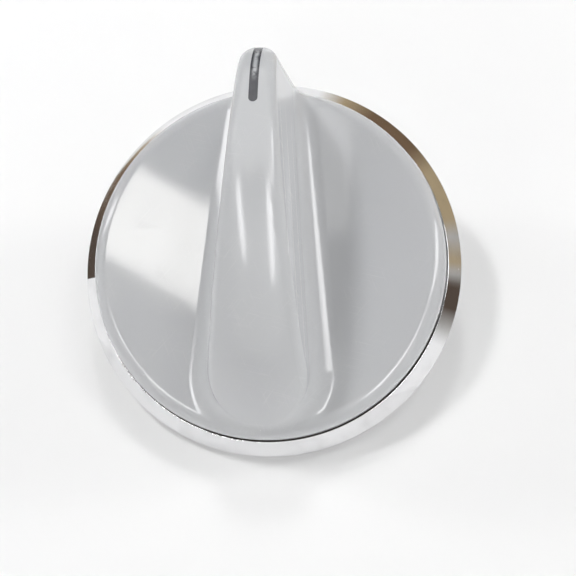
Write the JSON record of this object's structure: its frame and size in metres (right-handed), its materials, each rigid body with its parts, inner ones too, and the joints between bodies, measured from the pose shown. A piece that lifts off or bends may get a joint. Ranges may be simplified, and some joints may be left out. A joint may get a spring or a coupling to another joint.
{
  "type": "dryer control knob",
  "caption": "Round push-on dryer control knob with a tall tapered blade grip, a dark pointer line, a bright bevelled trim ring and a slotted stem for a D-shaped shaft.",
  "frame": {"origin": "on the shaft axis, at the free end of the stem", "axes": "+Z out of the face along the shaft axis, +Y towards the pointer"},
  "size_m": [0.066, 0.0664, 0.0387],
  "materials": {
    "grey_moulding": "glossy moulded grey",
    "bright_plating": "bright plating on plastic",
    "dark_line": "glossy dark grey fill",
    "spring_steel": "plain rolled strip"
  },
  "bodies": {
    "root": {"knob_body": "grey_moulding", "trim_ring": "bright_plating", "pointer_inlay": "dark_line", "shaft_clip": "spring_steel"}
  },
  "joints": []
}
